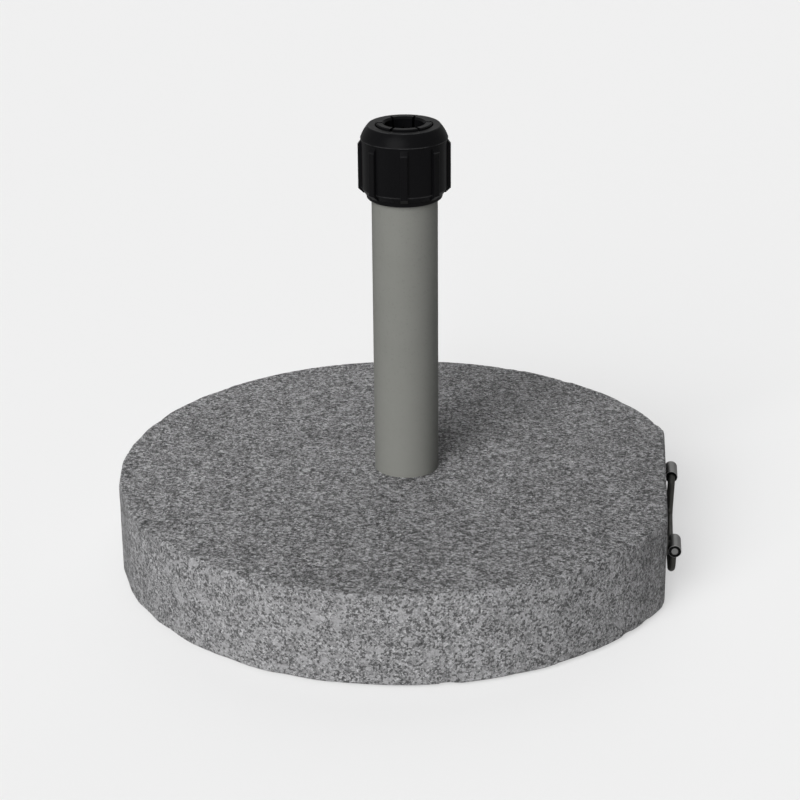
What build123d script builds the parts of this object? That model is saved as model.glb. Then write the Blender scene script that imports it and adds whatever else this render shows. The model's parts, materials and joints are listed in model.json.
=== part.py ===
from build123d import *
import os
from math import cos, radians, tan

# Parasol base: a granite slab with a stand tube bolted to its middle, a clamp head at the tube's
# top and a hinged bail handle on the slab's one flat side. Millimetres. The origin is on the
# ground at the tube's axis, +Z is up and +X points out of the flat side.

# Slab
slab_radius = 225.0
slab_thickness = 74.0
flat_distance = 207.0        # tube axis to the flat side
flat_corner_radius = 35.0    # where the flat runs into the round side
slab_arris = 2.5             # rounding of the upper and lower edges
bolt_hole_radius = 7.0
counterbore_radius = 45.0
counterbore_depth = 22.0
anchor_hole_depth = 38.0     # the two holes in the flat side

# Feet
foot_height = 3.0
foot_radius = 18.0
foot_circle_radius = 160.0
foot_count = 4
foot_edge_radius = 1.0

slab_bottom = foot_height
slab_top = slab_bottom + slab_thickness
counterbore_top = slab_bottom + counterbore_depth

# Stand tube
tube_radius = 25.4
tube_wall = 1.5
tube_bore = tube_radius - tube_wall
tube_top = 318.0
fitting_gap = 0.05           # radial gap of the parts pressed or welded into each other

# Bolting of the tube: M12
bolt_radius = 5.95
bolt_length = 75.0
bolt_head_height = 7.5
bolt_head_across_flats = 19.0
bolt_crown_inset = 0.4
bolt_end_chamfer = 1.2
thread_hole_radius = 6.0
plate_radius = 40.0
plate_thickness = 5.0
plate_chamfer = 0.6
spring_washer_outer = 10.5
spring_washer_inner = 6.2
spring_washer_thickness = 3.0
spring_washer_cut = 1.2      # width of the split
spring_washer_lean = 35.0    # degrees, of the split
foot_disc_thickness = 10.0
foot_disc_chamfer = 0.8

# Pole: the stand takes a 30 mm pole
pole_bore = 15.1
guide_bore = 15.3
guide_wall = 2.0
guide_height = 40.0
guide_floor = 6.0
guide_drain_radius = 8.0
guide_web_count = 6

# Threaded head in the tube's top
head_thread_radius = 26.4
head_bore = 20.5
head_sleeve_length = 48.0
head_flange_thickness = 2.0
head_top = 349.0
head_mouth_radius = 24.6
head_edge = 1.0
head_lead_in = 3.0
seat_bottom = 337.0

# Split collet
collet_bottom = 325.0
collet_body_radius = 20.2
collet_shoulder_radius = 24.0
collet_shoulder_bottom = 348.0
collet_shoulder_top = 350.0
collet_nose_radius = 21.3
collet_nose_bottom = 356.0
collet_top = 360.3
collet_slot_count = 6        # from each end, turned half a step against each other
collet_slot_width = 2.2
collet_slot_turn = 7.5       # degrees, first upper slot
collet_bridge = 8.0          # uncut length left at the end of each slot
collet_edge = 0.8
collet_lead_in = 1.5

# Clamp nut
nut_bottom = 301.8
nut_top = 358.8
nut_bore = 26.8
nut_roof = 356.0             # inner face of the roof
nut_mouth_radius = 21.8
nut_mouth_edge = 0.5
nut_rim_radius = 27.5
nut_dome_radius = 33.4
nut_dome_bottom = 348.8
nut_dome_bulge = 0.6         # sagitta of the dome's outline
nut_lip = 0.5                # height of the dome's edge over the body
nut_body_radius = 32.8
nut_body_bottom = 310.2
nut_collar_radius = 29.1
nut_collar_top = 305.8
nut_collar_shoulder = 30.2   # where the body's lower slope ends
nut_rounding = 0.3           # of the outer corners
nut_foot_rounding = 1.3
rib_count = 8
rib_turn = 4.5               # degrees, first rib from +X
rib_width = 5.6
rib_depth = 6.0
rib_rounding = 0.9
rib_radius = 35.4
rib_top = 343.6
rib_bottom = 309.5
rib_run_out = 3.6            # height over which a rib's top runs out into the body
rib_foot = 31.5              # radius where a rib's lower slope meets the collar

# Pressure ring between the nut's roof and the collet
ring_radius = 26.4
ring_top = 355.7
ring_bottom = 351.3
ring_axial_gap = 2.0         # free travel before the ring meets the collet's cone

# Bail handle and its eyes
rod_radius = 3.0
rod_end_chamfer = 0.5
eye_radius = 5.1
eye_length = 21.5
eye_bore = 3.05
eye_chamfer = 0.4
handle_length = 159.0        # over the outer ends of both eyes
pivot_offset = 6.1           # pivot axis in front of the flat
pivot_height = slab_bottom + 43.3
bail_drop = 30.0             # pivot axis to grip axis
bail_lean = 2.0              # degrees, towards the stone
bail_bow = 0.4               # the grip's middle, towards the stone
bail_bend = 5.0              # centre-line radius of the upper bends
grip_bend = 7.0              # centre-line radius of the lower bends
bow_radius = 300.0           # centre-line radius of the grip's two gentle bends
bail_side_gap = 0.6          # between an eye's inner end and the start of the bend
rosette_radius = 7.5
rosette_hole = 3.2
rosette_thickness = 0.8
rosette_chamfer = 0.3
neck_radius = 3.8
stud_radius = 3.0
stud_length = 34.0
sleeve_radius = 5.0

pivot_x = flat_distance + pivot_offset
eye_centre = (handle_length - eye_length) / 2

UP = (Align.CENTER, Align.CENTER, Align.MIN)


def disc(radius, bottom, top):
    """Solid cylinder about the tube's axis."""
    return Pos(0, 0, bottom) * Cylinder(radius, top - bottom, align=UP)


def ring(outer, inner, bottom, top):
    """Cylinder with a round hole, about the tube's axis."""
    return disc(outer, bottom, top) - disc(inner, bottom - 1, top + 1)


def turned(*points):
    """Solid of revolution about the tube's axis, from its (radius, height) corners."""
    return revolve(Plane.XZ * make_face(Polyline(*points, close=True)), Axis.Z)


def along_x(radius, start, end, y, z):
    """Solid cylinder parallel to X."""
    return Pos(start, y, z) * Rot(0, 90, 0) * Cylinder(radius, end - start, align=UP)


def along_y(radius, centre_y, length, x, z):
    """Solid cylinder parallel to Y."""
    return Pos(x, centre_y, z) * Rot(90, 0, 0) * Cylinder(radius, length)


def radial_boxes(count, width, reach, bottom, top, first_angle=0.0):
    """Boxes from the tube's axis outwards, evenly spaced round it."""
    box = Box(reach, width, top - bottom, align=(Align.MIN, Align.CENTER, Align.MIN))
    return [Rot(0, 0, first_angle + 360 * i / count) * Pos(0, 0, bottom) * box for i in range(count)]


def granite_slab():
    """Round slab with one flat side, bolt hole, counterbore below and two holes in the flat."""
    outline = Circle(slab_radius)
    outline &= Pos(flat_distance - slab_radius) * Rectangle(2 * slab_radius, 3 * slab_radius)
    corners = outline.vertices().filter_by(lambda corner: abs(corner.X - flat_distance) < 0.01)
    outline = fillet(corners, flat_corner_radius)
    slab = Pos(0, 0, slab_bottom) * extrude(outline, amount=slab_thickness)
    slab = fillet(slab.faces().sort_by(Axis.Z)[-1].edges(), slab_arris)
    slab = fillet(slab.faces().sort_by(Axis.Z)[0].edges(), slab_arris)
    slab -= disc(bolt_hole_radius, slab_bottom, slab_top)
    slab -= disc(counterbore_radius, slab_bottom, counterbore_top)
    anchor_hole_end = flat_distance - anchor_hole_depth
    for side in (-1, 1):
        y = side * eye_centre
        slab -= along_x(sleeve_radius + fitting_gap, anchor_hole_end, flat_distance, y, pivot_height)
    return slab


def stand_tube():
    """Straight round tube from the slab's top face up into the clamp nut."""
    return ring(tube_radius, tube_bore, slab_top, tube_top)


def tube_foot_disc():
    """Threaded disc welded into the tube's foot."""
    plug = ring(tube_bore - fitting_gap, thread_hole_radius, slab_top, slab_top + foot_disc_thickness)
    return chamfer(plug.edges().filter_by(GeomType.CIRCLE).sort_by(Axis.Z)[-2:], foot_disc_chamfer)


def clamp_plate():
    """Large round washer that spreads the bolt's load in the counterbore."""
    plate = ring(plate_radius, bolt_hole_radius, counterbore_top - plate_thickness, counterbore_top)
    return chamfer(plate.faces().sort_by(Axis.Z)[0].edges(), plate_chamfer)


def spring_washer():
    """Split lock washer under the bolt's head."""
    top = counterbore_top - plate_thickness
    washer = ring(spring_washer_outer, spring_washer_inner, top - spring_washer_thickness, top)
    cut = Pos(spring_washer_outer, 0, top - spring_washer_thickness / 2) * Rot(spring_washer_lean, 0, 0)
    return washer - cut * Box(2 * spring_washer_outer, spring_washer_cut, 3 * spring_washer_thickness)


def clamp_bolt():
    """Hexagon bolt, head down."""
    seat = counterbore_top - plate_thickness - spring_washer_thickness
    corner_radius = bolt_head_across_flats / 2 / cos(radians(30))
    head = extrude(RegularPolygon(corner_radius, 6), amount=bolt_head_height)
    # the head's lower corners are turned off to a 30 degree cone
    crown_radius = bolt_head_across_flats / 2 - bolt_crown_inset
    crown_rise = 2 * corner_radius
    crown = Cone(crown_radius, crown_radius + crown_rise / tan(radians(30)), crown_rise, align=UP)
    head = Pos(0, 0, seat - bolt_head_height) * (head & crown)
    shank = disc(bolt_radius, seat - 1, seat + bolt_length)
    shank = chamfer(shank.faces().sort_by(Axis.Z)[-1].edges(), bolt_end_chamfer)
    return head + shank


def pole_guide():
    """Ribbed cup that centres the pole's lower end in the tube."""
    bottom = slab_top + foot_disc_thickness
    top = bottom + guide_height
    outer = tube_bore - 4 * fitting_gap
    cup = ring(outer, outer - guide_wall, bottom, top)
    cup += ring(guide_bore + guide_wall, guide_bore, bottom, top)
    cup += disc(outer, bottom, bottom + guide_floor)
    for web in radial_boxes(guide_web_count, guide_wall, outer - 1, bottom, top):
        cup += web - disc(guide_bore + 1, bottom - 1, top + 1)
    cup -= disc(guide_drain_radius, bottom - 1, top)
    mouth = Pos(0, 0, top - guide_wall) * Cone(guide_bore, guide_bore + guide_wall, guide_wall, align=UP)
    return cup - mouth


def threaded_head():
    """Bush in the tube's top: sleeve, flange, nut thread as a plain cylinder, conical seat."""
    flange_top = tube_top + head_flange_thickness
    bottom = tube_top - head_sleeve_length
    sleeve = tube_bore - fitting_gap
    return turned(
        (head_bore, bottom),
        (sleeve - head_edge, bottom),
        (sleeve, bottom + head_lead_in),
        (sleeve, tube_top),
        (tube_radius, tube_top),
        (tube_radius, flange_top),
        (head_thread_radius, flange_top + head_edge),
        (head_thread_radius, head_top - head_edge),
        (head_thread_radius - head_edge, head_top),
        (head_mouth_radius, head_top),
        (head_bore, seat_bottom),
    )


def split_collet():
    """Double-coned gripping ring, slotted in turn from above and from below."""
    collet = turned(
        (pole_bore, collet_bottom),
        (collet_body_radius - collet_edge, collet_bottom),
        (collet_body_radius, collet_bottom + collet_lead_in),
        (collet_body_radius, seat_bottom),
        (collet_shoulder_radius, collet_shoulder_bottom),
        (collet_shoulder_radius, collet_shoulder_top),
        (collet_nose_radius, collet_nose_bottom),
        (collet_nose_radius, collet_top - collet_edge),
        (collet_nose_radius - collet_edge, collet_top),
        (pole_bore + collet_lead_in, collet_top),
        (pole_bore, collet_top - collet_lead_in),
    )
    cut = (collet_slot_count, collet_slot_width, collet_shoulder_radius + 2)
    lower_end = collet_bottom + collet_bridge
    upper_end = collet_top - collet_bridge
    half_step = 180 / collet_slot_count
    for slot in radial_boxes(*cut, lower_end, collet_top + 1, collet_slot_turn):
        collet -= slot
    for slot in radial_boxes(*cut, collet_bottom - 1, upper_end, collet_slot_turn + half_step):
        collet -= slot
    return collet


def pressure_ring():
    """Conical ring that carries the nut's push to the collet."""
    slope = (collet_shoulder_radius - collet_nose_radius) / (collet_nose_bottom - collet_shoulder_top)

    def inner_radius(height):
        return collet_shoulder_radius - slope * (height - ring_axial_gap - collet_shoulder_top)

    return turned(
        (inner_radius(ring_bottom), ring_bottom),
        (ring_radius, ring_bottom),
        (ring_radius, ring_top),
        (inner_radius(ring_top), ring_top),
    )


def nut_section():
    """Half section of the nut's turned body, as (radius, height)."""
    rim = (nut_rim_radius, nut_top)
    dome_foot = (nut_dome_radius, nut_dome_bottom)
    dome = SagittaArc(rim, dome_foot, nut_dome_bulge)
    below = Polyline(
        dome_foot,
        (nut_body_radius, nut_dome_bottom - nut_lip),
        (nut_body_radius, nut_body_bottom),
        (nut_collar_shoulder, nut_collar_top),
        (nut_collar_radius, nut_collar_top),
        (nut_collar_radius, nut_bottom),
        (nut_bore, nut_bottom),
        (nut_bore, nut_roof),
        (nut_mouth_radius, nut_roof),
        (nut_mouth_radius, nut_top - nut_mouth_edge),
        (nut_mouth_radius + nut_mouth_edge, nut_top),
        rim,
    )
    section = make_face(dome + below)
    low = section.vertices().filter_by(lambda corner: corner.Y < nut_bottom + 0.01)
    section = fillet(low.sort_by(Axis.X)[-1], nut_foot_rounding)
    over_foot = nut_bottom + 2 * nut_foot_rounding
    outer = section.vertices().filter_by(lambda corner: corner.X > nut_bore and corner.Y > over_foot)
    return fillet(outer, nut_rounding)


def clamp_nut():
    """Domed nut with grip ribs and a collar that reaches down over the tube."""
    nut = revolve(Plane.XZ * nut_section(), Axis.Z)
    inner = nut_bore + nut_rounding
    rib_band = turned(
        (inner, rib_top + rib_run_out),
        (nut_body_radius, rib_top + rib_run_out),
        (rib_radius, rib_top),
        (rib_radius, rib_bottom),
        (rib_foot, nut_collar_top),
        (inner, nut_collar_top),
    )
    outline = Pos(rib_radius - rib_depth / 2) * RectangleRounded(rib_depth, rib_width, rib_rounding)
    rib = rib_band & Pos(0, 0, nut_bottom) * extrude(outline, amount=nut_top - nut_bottom)
    for index in range(rib_count):
        nut += Rot(0, 0, rib_turn + 360 * index / rib_count) * rib
    return nut


def eye_bracket(side):
    """Barrel for one end of the bail, on a neck with a stud into the stone."""
    y = side * eye_centre
    barrel = along_y(eye_radius, y, eye_length, pivot_x, pivot_height)
    barrel = chamfer(barrel.edges().filter_by(GeomType.CIRCLE), eye_chamfer)
    neck_start = flat_distance + rosette_thickness
    neck = along_x(neck_radius, neck_start, pivot_x, y, pivot_height)
    stud = along_x(stud_radius, neck_start - stud_length, neck_start + 1, y, pivot_height)
    bracket = barrel + neck + stud
    return bracket - along_y(eye_bore, y, eye_length + 2, pivot_x, pivot_height)


def rosette(side):
    """Thin washer between an eye and the stone."""
    y = side * eye_centre
    end = flat_distance + rosette_thickness
    washer = along_x(rosette_radius, flat_distance, end, y, pivot_height)
    washer = chamfer(washer.faces().sort_by(Axis.X)[-1].edges(), rosette_chamfer)
    return washer - along_x(rosette_hole, flat_distance - 1, end + 1, y, pivot_height)


def anchor_sleeve(side):
    """Sleeve bonded into the stone, closed at its inner end."""
    y = side * eye_centre
    start = flat_distance - anchor_hole_depth
    sleeve = along_x(sleeve_radius, start, flat_distance, y, pivot_height)
    bore_start = flat_distance + rosette_thickness - stud_length - 1
    return sleeve - along_x(stud_radius + fitting_gap, bore_start, flat_distance + 1, y, pivot_height)


def bail_handle():
    """Bent rod: two ends along the pivot axis, two legs and a slightly bowed grip."""
    end_y = handle_length / 2
    leg_y = eye_centre - eye_length / 2 - bail_side_gap - bail_bend
    half = [
        (0, end_y, 0),
        (0, leg_y, 0),
        (0, leg_y, -bail_drop),
        (-bail_bow, leg_y / 3, -bail_drop),
    ]
    route = [(x, -y, z) for x, y, z in half] + half[::-1]
    radii = [bail_bend, grip_bend, bow_radius]
    path = FilletPolyline(*route, radius=radii + radii[::-1])
    rod = sweep(Plane(origin=route[0], z_dir=(0, 1, 0)) * Circle(rod_radius), path)
    ends = rod.faces().filter_by(Axis.Y).sort_by(Axis.Y)
    rod = chamfer(ends[0].edges() + ends[-1].edges(), rod_end_chamfer)
    return Pos(pivot_x, 0, pivot_height) * Rot(0, bail_lean, 0) * rod


def rubber_foot(index):
    """Flat round pad with a rounded lower edge."""
    pad = disc(foot_radius, 0, foot_height)
    pad = fillet(pad.faces().sort_by(Axis.Z)[0].edges(), foot_edge_radius)
    angle = 360 * (index + 0.5) / foot_count
    return Rot(0, 0, angle) * Pos(foot_circle_radius) * pad


nodes = {
    "granite_slab": granite_slab(),
    "stand_tube": stand_tube(),
    "tube_foot_disc": tube_foot_disc(),
    "clamp_plate": clamp_plate(),
    "spring_washer": spring_washer(),
    "clamp_bolt": clamp_bolt(),
    "pole_guide": pole_guide(),
    "threaded_head": threaded_head(),
    "split_collet": split_collet(),
    "pressure_ring": pressure_ring(),
    "clamp_nut": clamp_nut(),
    "bail_handle": bail_handle(),
}
for name, side in (("front", -1), ("rear", 1)):
    nodes[f"eye_bracket_{name}"] = eye_bracket(side)
    nodes[f"rosette_{name}"] = rosette(side)
    nodes[f"anchor_sleeve_{name}"] = anchor_sleeve(side)
for index in range(foot_count):
    nodes[f"rubber_foot_{index + 1}"] = rubber_foot(index)

os.makedirs("parts", exist_ok=True)
for name, solid in nodes.items():
    export_step(solid, f"parts/{name}.step")
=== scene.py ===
import json
import random
from math import cos, exp, log, pi, radians, sin, sqrt

import bmesh
import bpy
from mathutils import Matrix, Vector, noise


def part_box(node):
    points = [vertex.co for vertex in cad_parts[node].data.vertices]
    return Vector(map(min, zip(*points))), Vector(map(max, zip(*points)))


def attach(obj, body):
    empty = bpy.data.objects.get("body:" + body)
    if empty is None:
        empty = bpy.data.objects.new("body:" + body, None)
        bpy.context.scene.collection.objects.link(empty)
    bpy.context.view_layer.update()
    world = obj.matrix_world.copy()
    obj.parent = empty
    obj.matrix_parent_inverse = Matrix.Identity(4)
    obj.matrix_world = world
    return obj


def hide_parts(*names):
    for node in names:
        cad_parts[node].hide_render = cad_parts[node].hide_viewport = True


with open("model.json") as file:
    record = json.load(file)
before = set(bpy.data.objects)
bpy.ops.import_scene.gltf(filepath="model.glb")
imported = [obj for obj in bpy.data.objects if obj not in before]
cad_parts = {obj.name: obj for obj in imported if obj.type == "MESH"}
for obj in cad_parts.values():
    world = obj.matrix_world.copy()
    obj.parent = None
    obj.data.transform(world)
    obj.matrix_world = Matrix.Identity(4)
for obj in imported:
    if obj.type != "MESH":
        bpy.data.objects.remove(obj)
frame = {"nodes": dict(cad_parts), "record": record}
bpy.context.view_layer.update()

MM = 0.001


# ---------------------------------------------------------------- node helpers


class Nodes:
    """A material's node tree, with short calls for the nodes that the materials here use."""

    def __init__(self, name):
        self.material = bpy.data.materials.new(name)
        self.material.use_nodes = True
        self.tree = self.material.node_tree
        self.tree.nodes.clear()
        self.output = self.add("ShaderNodeOutputMaterial")
        self.shader = self.add("ShaderNodeBsdfPrincipled")
        self.join(self.shader.outputs["BSDF"], self.output.inputs["Surface"])
        self.here = self.add("ShaderNodeTexCoord").outputs["Object"]

    def add(self, kind, **settings):
        node = self.tree.nodes.new(kind)
        for name, value in settings.items():
            setattr(node, name, value)
        return node

    def join(self, source, target):
        self.tree.links.new(source, target)

    def feed(self, value, socket):
        """Links a socket, or sets a plain value."""
        if isinstance(value, bpy.types.NodeSocket):
            self.join(value, socket)
        else:
            socket.default_value = value

    def set(self, **inputs):
        """Sets the shader's own sockets: base_color, roughness and so on."""
        for name, value in inputs.items():
            self.feed(value, self.shader.inputs[name.replace("_", " ").title().replace("Ior", "IOR")])

    def math(self, operation, a, b=0.0):
        node = self.add("ShaderNodeMath", operation=operation)
        self.feed(a, node.inputs[0])
        self.feed(b, node.inputs[1])
        return node.outputs[0]

    def product(self, a, b):
        return self.math("MULTIPLY", a, b)

    def distance(self, a, b):
        """How far apart two values are."""
        return self.math("ABSOLUTE", self.math("SUBTRACT", a, b))

    def scaled(self, x, y, z):
        """The object coordinates, times a factor for each axis."""
        node = self.add("ShaderNodeVectorMath", operation="MULTIPLY")
        self.join(self.here, node.inputs[0])
        node.inputs[1].default_value = (x, y, z)
        return node.outputs[0]

    def noise(self, size, detail=3.0, rough=0.5, vector=None):
        """Noise with features about size metres across, from 0 to 1."""
        node = self.add("ShaderNodeTexNoise")
        self.join(vector or self.here, node.inputs["Vector"])
        node.inputs["Scale"].default_value = 1 / size
        node.inputs["Detail"].default_value = detail
        node.inputs["Roughness"].default_value = rough
        return node.outputs["Fac"]

    def cells(self, size, vector=None):
        """Voronoi cells about size metres across, each with its own random number from 0 to 1."""
        node = self.add("ShaderNodeTexVoronoi")
        self.join(vector or self.here, node.inputs["Vector"])
        node.inputs["Scale"].default_value = 1 / size
        split = self.add("ShaderNodeSeparateColor")
        self.join(node.outputs["Color"], split.inputs[0])
        return split.outputs[0]

    def warped(self, size, reach):
        """The object coordinates pushed about by up to reach metres, by noise of that size."""
        node = self.add("ShaderNodeTexNoise")
        self.join(self.here, node.inputs["Vector"])
        node.inputs["Scale"].default_value = 1 / size
        node.inputs["Detail"].default_value = 2.0
        push = self.add("ShaderNodeVectorMath", operation="MULTIPLY_ADD")
        self.join(node.outputs["Color"], push.inputs[0])
        push.inputs[1].default_value = (reach, reach, reach)
        self.join(self.here, push.inputs[2])
        return push.outputs[0]

    def ramp(self, factor, stops):
        """Grey or colour ramp from (position, grey or colour) stops."""
        node = self.add("ShaderNodeValToRGB")
        self.join(factor, node.inputs[0])
        elements = node.color_ramp.elements
        while len(elements) < len(stops):
            elements.new(0.5)
        for element, (position, colour) in zip(elements, stops):
            element.position = position
            grey = isinstance(colour, (int, float))
            element.color = (colour, colour, colour, 1) if grey else (*colour, 1)
        return node.outputs[0]

    def mix(self, factor, a, b, blend="MIX"):
        """Mixes two colours or greys. A blend of MULTIPLY takes their product."""
        node = self.add("ShaderNodeMix", data_type="RGBA", blend_type=blend)
        self.feed(factor, node.inputs[0])
        for value, socket in ((a, node.inputs[6]), (b, node.inputs[7])):
            if isinstance(value, (int, float)):
                value = (value, value, value, 1)
            self.feed(value, socket)
        return node.outputs[2]

    def span(self, value, low, high, to_low=0.0, to_high=1.0):
        """Maps value from one range to another, clamped."""
        node = self.add("ShaderNodeMapRange")
        self.join(value, node.inputs[0])
        for i, number in enumerate((low, high, to_low, to_high)):
            node.inputs[i + 1].default_value = number
        return node.outputs[0]

    def axis(self, letter):
        """One of the object coordinates."""
        node = self.add("ShaderNodeSeparateXYZ")
        self.join(self.here, node.inputs[0])
        return node.outputs[letter]

    def bump(self, height, depth):
        """Bump of a 0 to 1 height, depth metres deep."""
        node = self.add("ShaderNodeBump")
        node.inputs["Distance"].default_value = depth
        node.inputs["Strength"].default_value = 1.0
        self.join(height, node.inputs["Height"])
        self.join(node.outputs[0], self.shader.inputs["Normal"])


# ---------------------------------------------------------------- materials

# Granite: sizes of what is in it
GRAIN = 1.9 * MM
FINE_GRAIN = 1.0 * MM
CRYSTAL = 8.5 * MM
CLOUD = 38 * MM
FLAKE = 1.45 * MM
FLAKE_SWARM = 9 * MM
PIT = 2.6 * MM
MICA_COLOUR = 0.025
CRYSTAL_COLOUR = 0.31


def granite():
    """Light-grey granite: quartz and feldspar grains, pale crystals and swarms of dark mica. The
    flamed top is pitted, and is darkened a little towards the flat by painted shade."""
    n = Nodes("granite")
    bent = n.warped(3 * MM, 1.6 * MM)
    grain = n.cells(GRAIN, bent)
    fine_grain = n.cells(FINE_GRAIN, bent)
    body = n.ramp(grain, [(0.0, 0.065), (0.3, 0.150), (0.7, 0.240), (1.0, 0.40)])
    body = n.mix(0.45, body, n.ramp(fine_grain, [(0.0, 0.045), (0.5, 0.200), (1.0, 0.46)]))
    crystals = n.span(n.noise(CRYSTAL, 2.5, 0.55, n.warped(4 * MM, 3 * MM)), 0.52, 0.62)
    body = n.mix(n.product(crystals, 0.62), body, CRYSTAL_COLOUR)
    cloud = n.ramp(n.noise(CLOUD, 4.0, 0.6), [(0.25, 0.88), (0.75, 1.12)])
    body = n.mix(1.0, body, cloud, "MULTIPLY")

    flake = n.cells(FLAKE, n.warped(2.2 * MM, 1.4 * MM))
    swarm = n.span(n.noise(FLAKE_SWARM, 4.0, 0.65), 0.36, 0.68, 0.04, 0.42)
    mica = n.math("LESS_THAN", flake, swarm)
    body = n.mix(n.product(mica, 0.74), body, MICA_COLOUR)

    facing = n.add("ShaderNodeSeparateXYZ")
    n.join(n.add("ShaderNodeNewGeometry").outputs["True Normal"], facing.inputs[0])
    flamed = n.span(facing.outputs[2], 0.6, 0.95)
    pits = n.span(n.noise(PIT, 2.5, 0.65), 0.35, 0.56, 0.37, 1.46)
    # painted shade: the flamed top gets darker towards the flat, where the light falls off
    across = n.span(n.axis("X"), -150 * MM, 200 * MM, 1.05, 0.87)
    body = n.mix(flamed, body, n.mix(1.0, body, n.product(pits, across), "MULTIPLY"))

    n.set(base_color=n.mix(1.0, body, (0.965, 0.965, 0.98, 1), "MULTIPLY"))
    n.set(roughness=n.mix(mica, n.span(n.noise(1.5 * MM), 0.2, 0.8, 0.75, 0.92), 0.5))
    n.set(specular_ior_level=0.3)
    n.bump(n.noise(2.8 * MM, 4.0, 0.65), 1.9 * MM)
    return n.material


PAINTED_LIGHT_HEIGHT = 110 * MM    # how far up the tube the painted light reaches, which lifts the shade near the stone


def powder_coat():
    """Grey-green powder coat with a fine orange-peel texture, lightened near the stone by painted light.
    """
    n = Nodes("powder_coat")
    cloud = n.noise(30 * MM, 3.0)
    speck = n.cells(1.1 * MM)
    colour = n.mix(cloud, (0.143, 0.145, 0.132, 1), (0.162, 0.164, 0.151, 1))
    dark = n.math("LESS_THAN", speck, 0.06)
    colour = n.mix(n.product(dark, 0.12), colour, (0.06, 0.06, 0.055, 1))
    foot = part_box("granite_slab")[1].z
    # painted light: the coat is made paler towards the stone, against the shade that falls there
    painted_light = n.span(n.axis("Z"), foot, foot + PAINTED_LIGHT_HEIGHT, 0.85, 0.0)
    colour = n.mix(painted_light, colour, (0.185, 0.187, 0.172, 1))
    n.set(base_color=colour, roughness=n.span(n.noise(6 * MM), 0.3, 0.7, 0.46, 0.60))
    n.bump(n.noise(1.4 * MM, 3.0, 0.55), 0.12 * MM)
    return n.material


def black_plastic(name="black_plastic"):
    """Semi-gloss black moulding with faint flow marks and handling scuffs: (nodes, colour)."""
    n = Nodes(name)
    flow = n.noise(14 * MM, 3.0, 0.5, n.scaled(1.0, 1.0, 0.3))
    colour = n.mix(flow, (0.0022, 0.0022, 0.0025, 1), (0.0038, 0.0038, 0.0043, 1))
    scuff = n.noise(1.8 * MM, 4.0, 0.7, n.scaled(1.0, 1.0, 3.0))
    n.set(base_color=colour, specular_ior_level=0.17)
    dull = n.span(scuff, 0.3, 0.8, 0.25, 0.36)
    n.set(roughness=n.math("ADD", dull, n.span(flow, 0.3, 0.7, 0.0, 0.06)))
    n.bump(n.noise(0.7 * MM, 2.0), 0.02 * MM)
    return n, colour


# Crests of the clamp nut: the rim's radius, and for each other one its depth below the nut's top and
# its least and greatest radius
NUT_RIM_RADIUS = 27.5 * MM
NUT_DOME_FOOT = (10.0 * MM, 33.1 * MM, 34.0 * MM)
NUT_RIB_TOP = (15.4 * MM, 34.4 * MM, 36.0 * MM)
NUT_BODY_FOOT = (48.6 * MM, 32.4 * MM, 33.0 * MM)
# colour of the painted highlights on the nut's crests
HIGHLIGHT_COLOUR = (0.026, 0.026, 0.027, 1)


def nut_plastic():
    """The same moulding, with painted highlights on its crests: the rim, the dome's foot, the ribs' ends,
    the skirt.
    """
    n, colour = black_plastic("nut_plastic")
    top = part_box("clamp_nut")[1].z
    x, y, z = (n.axis(letter) for letter in "XYZ")
    radius = n.math("SQRT", n.math("ADD", n.math("POWER", x, 2.0), n.math("POWER", y, 2.0)))
    below = n.math("SUBTRACT", top, z)
    near_rim = n.span(n.distance(radius, NUT_RIM_RADIUS), 0.2 * MM, 0.5 * MM, 1.0, 0.0)
    # painted highlight: the crests are made paler in patches, where light would glint on their edges
    painted_highlight = n.product(near_rim, n.math("LESS_THAN", below, 2 * MM))
    for depth, least, greatest in (NUT_DOME_FOOT, NUT_RIB_TOP, NUT_BODY_FOOT):
        within = n.product(n.math("GREATER_THAN", radius, least), n.math("LESS_THAN", radius, greatest))
        near = n.span(n.distance(below, depth), 0.3 * MM, 0.6 * MM, 1.0, 0.0)
        painted_highlight = n.math("MAXIMUM", painted_highlight, n.product(near, within))
    patches = n.span(n.noise(9 * MM, 2.0, 0.5), 0.38, 0.62, 0.25, 1.0)
    n.set(base_color=n.mix(n.product(painted_highlight, patches), colour, HIGHLIGHT_COLOUR))
    return n.material


def brushed_metal(name, colour, along, rough_low, rough_high):
    """Metal with fine drawing lines along one axis, and cloudy handling marks: (nodes, colour)."""
    n = Nodes(name)
    squeeze = {"X": (0.06, 1.0, 1.0), "Y": (1.0, 0.06, 1.0), "Z": (1.0, 1.0, 0.06)}[along]
    lines = n.noise(0.5 * MM, 4.0, 0.6, n.scaled(*squeeze))
    marks = n.noise(9 * MM, 4.0, 0.6)
    lit = tuple(min(1.0, c * 1.15) for c in colour)
    shade = n.mix(lines, (*colour, 1), (*lit, 1))
    dim = tuple(c * 0.6 for c in colour)
    shade = n.mix(n.span(marks, 0.35, 0.75, 0.0, 0.35), shade, (*dim, 1))
    n.set(base_color=shade, metallic=1.0)
    drawn = n.span(lines, 0.3, 0.7, rough_low, rough_high)
    n.set(roughness=n.math("ADD", drawn, n.span(marks, 0.4, 0.8, 0.0, 0.12)))
    n.bump(lines, 0.012 * MM)
    return n, shade


def painted_stone_shade(n, shade):
    """Darkens the side towards the stone with painted shade: the shadow between metal and stone, and the
    dark stone mirrored in the metal.
    """
    joints = {joint["name"]: joint for joint in frame["record"]["behaviour"]["joints"]}
    pivot_x = joints["bail_swing"]["pos_m"][0]
    # colour of the painted shade on the side towards the stone
    painted_shade = n.mix(n.noise(2.5 * MM, 3.0), (0.020, 0.020, 0.019, 1), (0.060, 0.060, 0.056, 1))
    stone_side = n.span(n.axis("X"), pivot_x - 3.4 * MM, pivot_x - 1.0 * MM, 0.92, 0.0)
    return n.mix(stone_side, shade, painted_shade)


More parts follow.
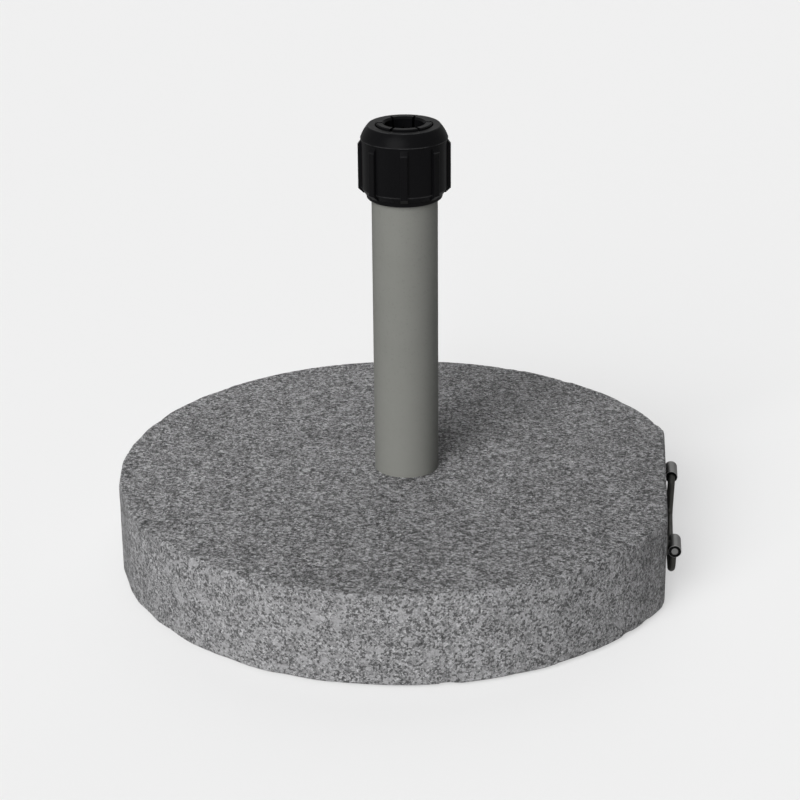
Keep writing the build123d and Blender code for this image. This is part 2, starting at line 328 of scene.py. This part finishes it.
def rod_steel():
    """Dull drawn rod, with bright sawn ends."""
    n, shade = brushed_metal("rod_steel", (0.17, 0.17, 0.155), "Y", 0.30, 0.42)
    # painted shade on the side towards the stone
    shade = painted_stone_shade(n, shade)
    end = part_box("bail_handle")[1].y
    sawn = n.math("GREATER_THAN", n.math("ABSOLUTE", n.axis("Y")), end - 0.1 * MM)
    n.set(base_color=n.mix(sawn, shade, (0.75, 0.75, 0.74, 1)))
    return n.material


def eye_steel():
    """Satin barrels with painted shade on their end faces and painted highlights on the edges of their
    ends.
    """
    n, shade = brushed_metal("eye_steel", (0.54, 0.54, 0.53), "Y", 0.28, 0.40)
    # painted shade on the side towards the stone
    shade = painted_stone_shade(n, shade)
    low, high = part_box("eye_bracket_rear")
    middle = (low.y + high.y) / 2
    half = (high.y - low.y) / 2
    outwards = n.distance(n.math("ABSOLUTE", n.axis("Y")), middle)
    # painted highlight on the rims of the barrels' ends, and painted shade on the end faces themselves
    edge = n.math("GREATER_THAN", outwards, half - 0.42 * MM)
    face = n.math("GREATER_THAN", outwards, half - 0.05 * MM)
    edge_highlight = n.mix(edge, shade, (0.90, 0.90, 0.89, 1))
    n.set(base_color=n.mix(face, edge_highlight, (0.03, 0.03, 0.03, 1)))
    return n.material


def zinc_plate():
    """Dull bright zinc with a mottled passivated film."""
    n = Nodes("zinc_steel")
    mottle = n.noise(5 * MM, 4.0, 0.65)
    film = n.ramp(mottle, [(0.3, (0.42, 0.44, 0.46)), (0.7, (0.60, 0.60, 0.56))])
    n.set(base_color=film, metallic=1.0)
    n.set(roughness=n.span(mottle, 0.3, 0.7, 0.32, 0.5))
    n.bump(n.noise(0.9 * MM, 3.0), 0.02 * MM)
    return n.material


def moulded(name, dark, light, rough_low, rough_high, texture):
    """Plain moulded plastic or rubber with a fine surface texture."""
    n = Nodes(name)
    cloud = n.noise(7 * MM, 4.0, 0.6)
    n.set(base_color=n.mix(cloud, (*dark, 1), (*light, 1)))
    n.set(roughness=n.span(n.noise(2 * MM), 0.3, 0.7, rough_low, rough_high))
    n.bump(n.noise(texture, 3.0), texture * 0.12)
    return n.material


# ---------------------------------------------------------------- the stone

# The mesh
SEGMENTS = 1080              # round the slab
TOP_RINGS = 110
SIDE_RINGS = 34
ARRIS_RINGS = 7
UNDERSIDE_SHARES = (0.75, 0.5, 0.25, 0.0)    # of the way from the counterbore out to the lower arris
SHARP_ANGLE = 50             # degrees

# The outline
DRESSED_EXTRA = 2.3 * MM     # the dressed side stands this much proud of the nominal round
DRESSED_SHIFT = -2.8 * MM    # and its middle lies this far from the tube's axis, away from the flat
CORNER_SOFTNESS = 1.3 * MM
FLAT_SPAN = 0.5              # the flat lies well within the angles with a greater cosine than this
FLAT_EDGE = 0.8 * MM         # the sawn face begins this far inside the flat's plane
SAWN_INSET = 0.1 * MM
ARRIS = 3.0 * MM             # rounding of the dressed edges
ARRIS_PATCH = 22 * MM
ARRIS_UNEVENNESS = 0.55
LOWER_ARRIS_OFFSET = 0.3     # in the noise, so that the two edges differ

# The recess under the tube
COUNTERBORE_RADIUS = 45.0 * MM
COUNTERBORE_DEPTH = 22.0 * MM
BOLT_HOLE_RADIUS = 7.0 * MM

# The tool marks
FACET_COUNT = 46
FACET_DEPTH = 1.0 * MM
FACET_JITTER = 0.35          # of a facet's length
FACET_FLATNESS = 0.8         # 1 would be flat from corner to corner
UPPER_FACET_SEED = 11
LOWER_FACET_SEED = 12
CHIP_COUNT = 60
CHIP_SEED = 7
CHIP_LEAST = 2.0 * MM        # half length
CHIP_SPREAD = 5.0 * MM
CHIP_UPPER_SHARE = 0.6       # of the chips lie on the upper edge
CHIP_DEPTH = (0.06, 0.16)    # least and greatest share of the half length
CHIP_HEIGHT = 0.9            # of the half length
CHIP_ROUNDNESS = 0.6
CHIP_DROP = 0.5              # how far the edge drops, as a share of how deep it is broken
SIDE_SWELL = (60 * MM, 0.6 * MM)    # length, depth
SIDE_DENTS = (9 * MM, 0.16 * MM)
TOP_SWELL = (70 * MM, 0.15 * MM)
TOP_PITS = (6 * MM, 0.16 * MM)
TOP_LOSS = 0.25 * MM         # mean depth of the flamed top below its plane


def outline_radius(angle, radius, flat):
    """Distance from the tube's axis to the slab's side: a circle that runs softly into the flat."""
    across = DRESSED_SHIFT * sin(angle)
    out = DRESSED_SHIFT * cos(angle) + sqrt(radius * radius - across * across)
    if cos(angle) < FLAT_SPAN:
        return out
    to_flat = flat / cos(angle)
    k = 1 / CORNER_SOFTNESS
    return -log(exp(-k * (out - flat)) + exp(-k * (to_flat - flat))) / k + flat


def on_flat(angle, flat, reach):
    """1 on the sawn flat, 0 on the dressed round side."""
    return 1.0 if cos(angle) > 0 and reach * cos(angle) > flat - FLAT_EDGE else 0.0


def slab_section():
    """The slab's section as rings of (share of the way, inset, drop, kind), from the bolt hole's top
    out to the edge, down the side and round the lower arris. Inset and drop are shares too."""
    quarter = [pi / 2 * i / ARRIS_RINGS for i in range(ARRIS_RINGS + 1)]
    rings = [(i / TOP_RINGS, 0.0, 0.0, "top") for i in range(TOP_RINGS)]
    rings += [(1.0, 1 - sin(a), 1 - cos(a), "upper arris") for a in quarter]
    rings += [(1.0, 0.0, i / SIDE_RINGS, "side") for i in range(1, SIDE_RINGS)]
    rings += [(1.0, 1 - cos(a), 1 - sin(a), "lower arris") for a in quarter]
    return rings


def facet_knots(seed):
    """Corners of the chiselled facets round one edge: sorted (angle, depth)."""
    dice = random.Random(seed)
    step = 2 * pi / FACET_COUNT
    knots = []
    for i in range(FACET_COUNT):
        angle = (i + dice.uniform(-FACET_JITTER, FACET_JITTER)) * step
        knots.append((angle, dice.uniform(0.0, 1.0) ** 1.5 * FACET_DEPTH))
    return knots


def facet_depth(angle, knots, radius):
    """Depth of the chiselled facets: nearly straight from corner to corner."""
    angle %= 2 * pi
    after = next((i for i, knot in enumerate(knots) if knot[0] > angle), 0)
    (a, deep_a), (b, deep_b) = knots[after - 1], knots[after]
    width = (b - a) % (2 * pi)
    share = ((angle - a) % (2 * pi)) / width
    chord = radius * width * width / 2 * share * (1 - share)
    return deep_a + (deep_b - deep_a) * share + FACET_FLATNESS * chord


def chips():
    """Random small breaks along the slab's edges: (angle, upper edge, half length, depth)."""
    dice = random.Random(CHIP_SEED)
    made = []
    for _ in range(CHIP_COUNT):
        upper = dice.random() < CHIP_UPPER_SHARE
        half_length = CHIP_LEAST + CHIP_SPREAD * dice.random() ** 2
        depth = half_length * dice.uniform(*CHIP_DEPTH)
        made.append((dice.uniform(-pi, pi), upper, half_length, depth))
    return made


def chip_depth(angle, z, radius, low, high, breaks):
    """How much of the edge is broken away at one place."""
    depth = 0.0
    for at, upper, half_length, deep in breaks:
        turn = (angle - at + pi) % (2 * pi) - pi
        if abs(turn) * radius > half_length:
            continue
        edge = high if upper else low
        across = abs(z - edge) / (CHIP_HEIGHT * half_length)
        along = turn * radius / half_length
        fall = 1 - along * along - across * across
        if fall > 0:
            depth = max(depth, deep * fall ** CHIP_ROUNDNESS)
    return depth


def side_relief(p):
    """Unevenness of the dressed side, inwards when positive."""
    swell_length, swell_depth = SIDE_SWELL
    dent_length, dent_depth = SIDE_DENTS
    swell = noise.noise(p * (1 / swell_length)) * swell_depth
    return swell + noise.fractal(p * (1 / dent_length), 0.9, 2.0, 4) * dent_depth


def top_relief(p):
    """Depth of the flamed top below its plane."""
    swell_length, swell_depth = TOP_SWELL
    pit_length, pit_depth = TOP_PITS
    pits = noise.fractal(p * (1 / pit_length), 0.8, 2.1, 4) * pit_depth
    return TOP_LOSS + pits + noise.noise(p * (1 / swell_length)) * swell_depth


def arris_width(angle, upper, radius):
    """The edges are rubbed down unevenly."""
    height = 0.0 if upper else LOWER_ARRIS_OFFSET
    place = Vector((radius * cos(angle), radius * sin(angle), height)) * (1 / ARRIS_PATCH)
    return ARRIS * (1.0 + ARRIS_UNEVENNESS * noise.noise(place))


def slab_columns(radius, flat):
    """What stays the same down the slab at each angle: (angle, outward direction, reach, sawn,
    widths of the upper and lower arris, depths of the upper and lower facet)."""
    upper_knots = facet_knots(UPPER_FACET_SEED)
    lower_knots = facet_knots(LOWER_FACET_SEED)
    columns = []
    for i in range(SEGMENTS):
        a = 2 * pi * i / SEGMENTS
        reach = outline_radius(a, radius, flat)
        widths = (arris_width(a, True, radius), arris_width(a, False, radius))
        facets = (facet_depth(a, upper_knots, radius), facet_depth(a, lower_knots, radius))
        columns.append((a, Vector((cos(a), sin(a), 0)), reach, on_flat(a, flat, reach), widths, facets))
    return columns


def top_point(column, share, high):
    """A point of the flamed top."""
    _, outward, reach, _, (upper_width, _), _ = column
    p = outward * (BOLT_HOLE_RADIUS + (reach - upper_width - BOLT_HOLE_RADIUS) * share)
    p.z = high
    p.z -= top_relief(p)
    return p


def side_point(column, ring, low, high, breaks):
    """A point of the side or of one of its two arrises."""
    a, outward, reach, sawn, (upper_width, lower_width), (upper_facet, lower_facet) = column
    _, inset, drop, kind = ring
    if kind == "upper arris":
        back, z = inset * upper_width, high - drop * upper_width
    elif kind == "lower arris":
        back, z = inset * lower_width, low + drop * lower_width
    else:
        back, z = 0.0, high - upper_width - (high - low - upper_width - lower_width) * drop
    p = outward * (reach - back)
    p.z = z
    broken = chip_depth(a, z, reach, low, high, breaks)
    depth = (high - z) / (high - low)
    rough = side_relief(p) + upper_facet * (1 - depth) + lower_facet * depth
    if kind != "side":
        rough *= 1 - inset
    p -= outward * (rough * (1 - sawn) + broken + sawn * SAWN_INSET)
    if kind == "upper arris":
        p.z -= inset * top_relief(p) + CHIP_DROP * broken
    if kind == "lower arris":
        p.z += CHIP_DROP * broken
    return p


def underside_points(columns, low):
    """The plain underside, from the lower arris in to the counterbore, and up to the bolt hole."""
    points = []
    for share in UNDERSIDE_SHARES:
        for _, outward, reach, _, (_, lower_width), _ in columns:
            out = COUNTERBORE_RADIUS + (reach - lower_width - COUNTERBORE_RADIUS) * share
            points.append(outward * out + Vector((0, 0, low)))
    recess_top = Vector((0, 0, low + COUNTERBORE_DEPTH))
    for out in (COUNTERBORE_RADIUS, BOLT_HOLE_RADIUS):
        points.extend(outward * out + recess_top for _, outward, *_ in columns)
    return points


def ring_faces(rings):
    """Four-sided faces between each ring of points and the next, closed both ways."""
    faces = []
    for i in range(rings):
        j = (i + 1) % rings
        for k in range(SEGMENTS):
            m = (k + 1) % SEGMENTS
            faces.append((i * SEGMENTS + k, j * SEGMENTS + k, j * SEGMENTS + m, i * SEGMENTS + m))
    return faces


def stone_slab():
    """The granite slab with its dressed side, flamed top, chipped edges and underside recess."""
    low_corner, high_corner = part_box("granite_slab")
    low, high, flat = low_corner.z, high_corner.z, high_corner.x
    columns = slab_columns(-low_corner.x + DRESSED_EXTRA, flat)
    breaks = chips()
    points = []
    for ring in slab_section():
        if ring[-1] == "top":
            points.extend(top_point(column, ring[0], high) for column in columns)
        else:
            points.extend(side_point(column, ring, low, high, breaks) for column in columns)
    points.extend(underside_points(columns, low))
    mesh = bpy.data.meshes.new("stone_slab")
    mesh.from_pydata([p[:] for p in points], [], ring_faces(len(points) // SEGMENTS))
    mesh.validate()
    mesh.shade_smooth()
    mesh.set_sharp_from_angle(angle=radians(SHARP_ANGLE))
    stone = bpy.data.objects.new("stone_slab", mesh)
    bpy.context.scene.collection.objects.link(stone)
    stone.data.materials.append(granite())
    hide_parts("granite_slab")
    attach(stone, "base")


# ---------------------------------------------------------------- dressing the CAD pieces


def dress(material, *names):
    """Gives CAD nodes a finished material."""
    for name in names:
        slots = frame["nodes"][name].data.materials
        slots.clear()
        slots.append(material)


def dress_all():
    """Every CAD node that shows gets its finish."""
    dress(powder_coat(), "stand_tube")
    dress(nut_plastic(), "clamp_nut")
    moulding, _ = black_plastic()
    dress(moulding.material, "split_collet", "threaded_head", "pressure_ring", "pole_guide")
    dress(rod_steel(), "bail_handle")
    dress(eye_steel(), "eye_bracket_front", "eye_bracket_rear")
    turned, _ = brushed_metal("stainless_turned", (0.30, 0.30, 0.29), "Z", 0.26, 0.40)
    dress(turned.material, "rosette_front", "rosette_rear")
    dress(zinc_plate(), "clamp_bolt", "clamp_plate", "spring_washer", "tube_foot_disc")
    nylon = moulded("grey_nylon", (0.26, 0.26, 0.26), (0.34, 0.34, 0.33), 0.5, 0.65, 0.8 * MM)
    dress(nylon, "anchor_sleeve_front", "anchor_sleeve_rear")
    rubber = moulded("rubber", (0.02, 0.02, 0.02), (0.035, 0.035, 0.034), 0.7, 0.9, 0.6 * MM)
    dress(rubber, *[f"rubber_foot_{i}" for i in (1, 2, 3, 4)])


# ---------------------------------------------------------------- studio

BACKDROP_RADIUS = 30.0
FLOOR_GLOW = 0.51       # the floor is partly lit by itself, so the stand's shadow on it stays soft
BACKDROP_GLOW = 0.86
ROOM_GLOW = 0.20

# The camera's place, as seen from above, and its aim
CAMERA_AZIMUTH = 5.15
CAMERA_DISTANCE = 1.6765
CAMERA_HEIGHT = 0.8328
CAMERA_PITCH = 22.65
CAMERA_HEADING = 5.32
CAMERA_ROLL = -0.53
SENSOR_MM = 36.0
LENS_MM = 103.14


def floor():
    """Plain pale floor under the feet, out to the backdrop."""
    mesh = bpy.data.meshes.new("floor")
    half = BACKDROP_RADIUS
    corners = [(-half, -half, 0), (half, -half, 0), (half, half, 0), (-half, half, 0)]
    mesh.from_pydata(corners, [], [(0, 1, 2, 3)])
    plane = bpy.data.objects.new("floor", mesh)
    bpy.context.scene.collection.objects.link(plane)
    n = Nodes("floor")
    n.set(base_color=(0.38, 0.38, 0.38, 1), roughness=1.0)
    n.set(specular_ior_level=0.0, emission_color=(1, 1, 1, 1), emission_strength=FLOOR_GLOW)
    plane.data.materials.append(n.material)
    plane.visible_glossy = False


def backdrop():
    """Pale dome round the whole studio. It only closes the view: it casts no light and no shadow."""
    sheet = bmesh.new()
    bmesh.ops.create_uvsphere(sheet, u_segments=64, v_segments=32, radius=BACKDROP_RADIUS)
    mesh = bpy.data.meshes.new("backdrop")
    sheet.to_mesh(mesh)
    sheet.free()
    dome = bpy.data.objects.new("backdrop", mesh)
    bpy.context.scene.collection.objects.link(dome)
    n = Nodes("backdrop")
    n.set(base_color=(0, 0, 0, 1), specular_ior_level=0.0)
    n.set(emission_color=(1, 1, 1, 1), emission_strength=BACKDROP_GLOW)
    dome.data.materials.append(n.material)
    dome.visible_diffuse = False
    dome.visible_glossy = False
    dome.visible_shadow = False


def soft_sun(name, azimuth, elevation, spread, strength, mirrored=False):
    """A broad soft light from far away. Azimuth 0 is in front, positive to the right; the spread is
    its width, in degrees. A mirrored one only shows in reflections, the others never do."""
    a, e = radians(azimuth), radians(elevation)
    away = Vector((sin(a) * cos(e), -cos(a) * cos(e), sin(e)))
    light = bpy.data.lights.new(name, "SUN")
    light.energy = strength
    light.angle = radians(spread)
    lamp = bpy.data.objects.new(name, light)
    lamp.rotation_mode = "QUATERNION"
    lamp.rotation_quaternion = away.to_track_quat("Z", "Y")
    lamp.visible_diffuse = not mirrored
    lamp.visible_glossy = mirrored
    bpy.context.scene.collection.objects.link(lamp)


def studio():
    """Low broad key from the front left, a little light from above and behind, and a dim room that
    only shows in reflections."""
    world = bpy.data.worlds.new("studio")
    world.use_nodes = True
    background = world.node_tree.nodes["Background"]
    background.inputs[0].default_value = (1, 1, 1, 1)
    background.inputs[1].default_value = ROOM_GLOW
    world.cycles_visibility.diffuse = False
    bpy.context.scene.world = world
    soft_sun("key", -21, 30, 40, 3.95)
    soft_sun("top", -10, 60, 60, 0.45)
    soft_sun("back", 180, 40, 60, 0.95)
    soft_sun("key shine", -21, 34, 44, 0.35, mirrored=True)
    soft_sun("back shine", 180, 30, 50, 0.08, mirrored=True)
    bpy.context.scene.view_settings.view_transform = "Standard"


def camera():
    """Looks at the stand from slightly above, a little to the right of its middle."""
    data = bpy.data.cameras.new("camera")
    data.sensor_width = SENSOR_MM
    data.lens = LENS_MM
    azimuth = radians(CAMERA_AZIMUTH)
    across, along = CAMERA_DISTANCE * sin(azimuth), -CAMERA_DISTANCE * cos(azimuth)
    place = Matrix.Translation((across, along, CAMERA_HEIGHT))
    heading = Matrix.Rotation(radians(CAMERA_HEADING), 4, "Z")
    pitch = Matrix.Rotation(pi / 2 - radians(CAMERA_PITCH), 4, "X")
    roll = Matrix.Rotation(radians(CAMERA_ROLL), 4, "Z")
    eye = bpy.data.objects.new("camera", data)
    eye.matrix_world = place @ heading @ pitch @ roll
    bpy.context.scene.collection.objects.link(eye)
    bpy.context.scene.camera = eye


stone_slab()
dress_all()
floor()
backdrop()
studio()
camera()

bpy.context.view_layer.update()
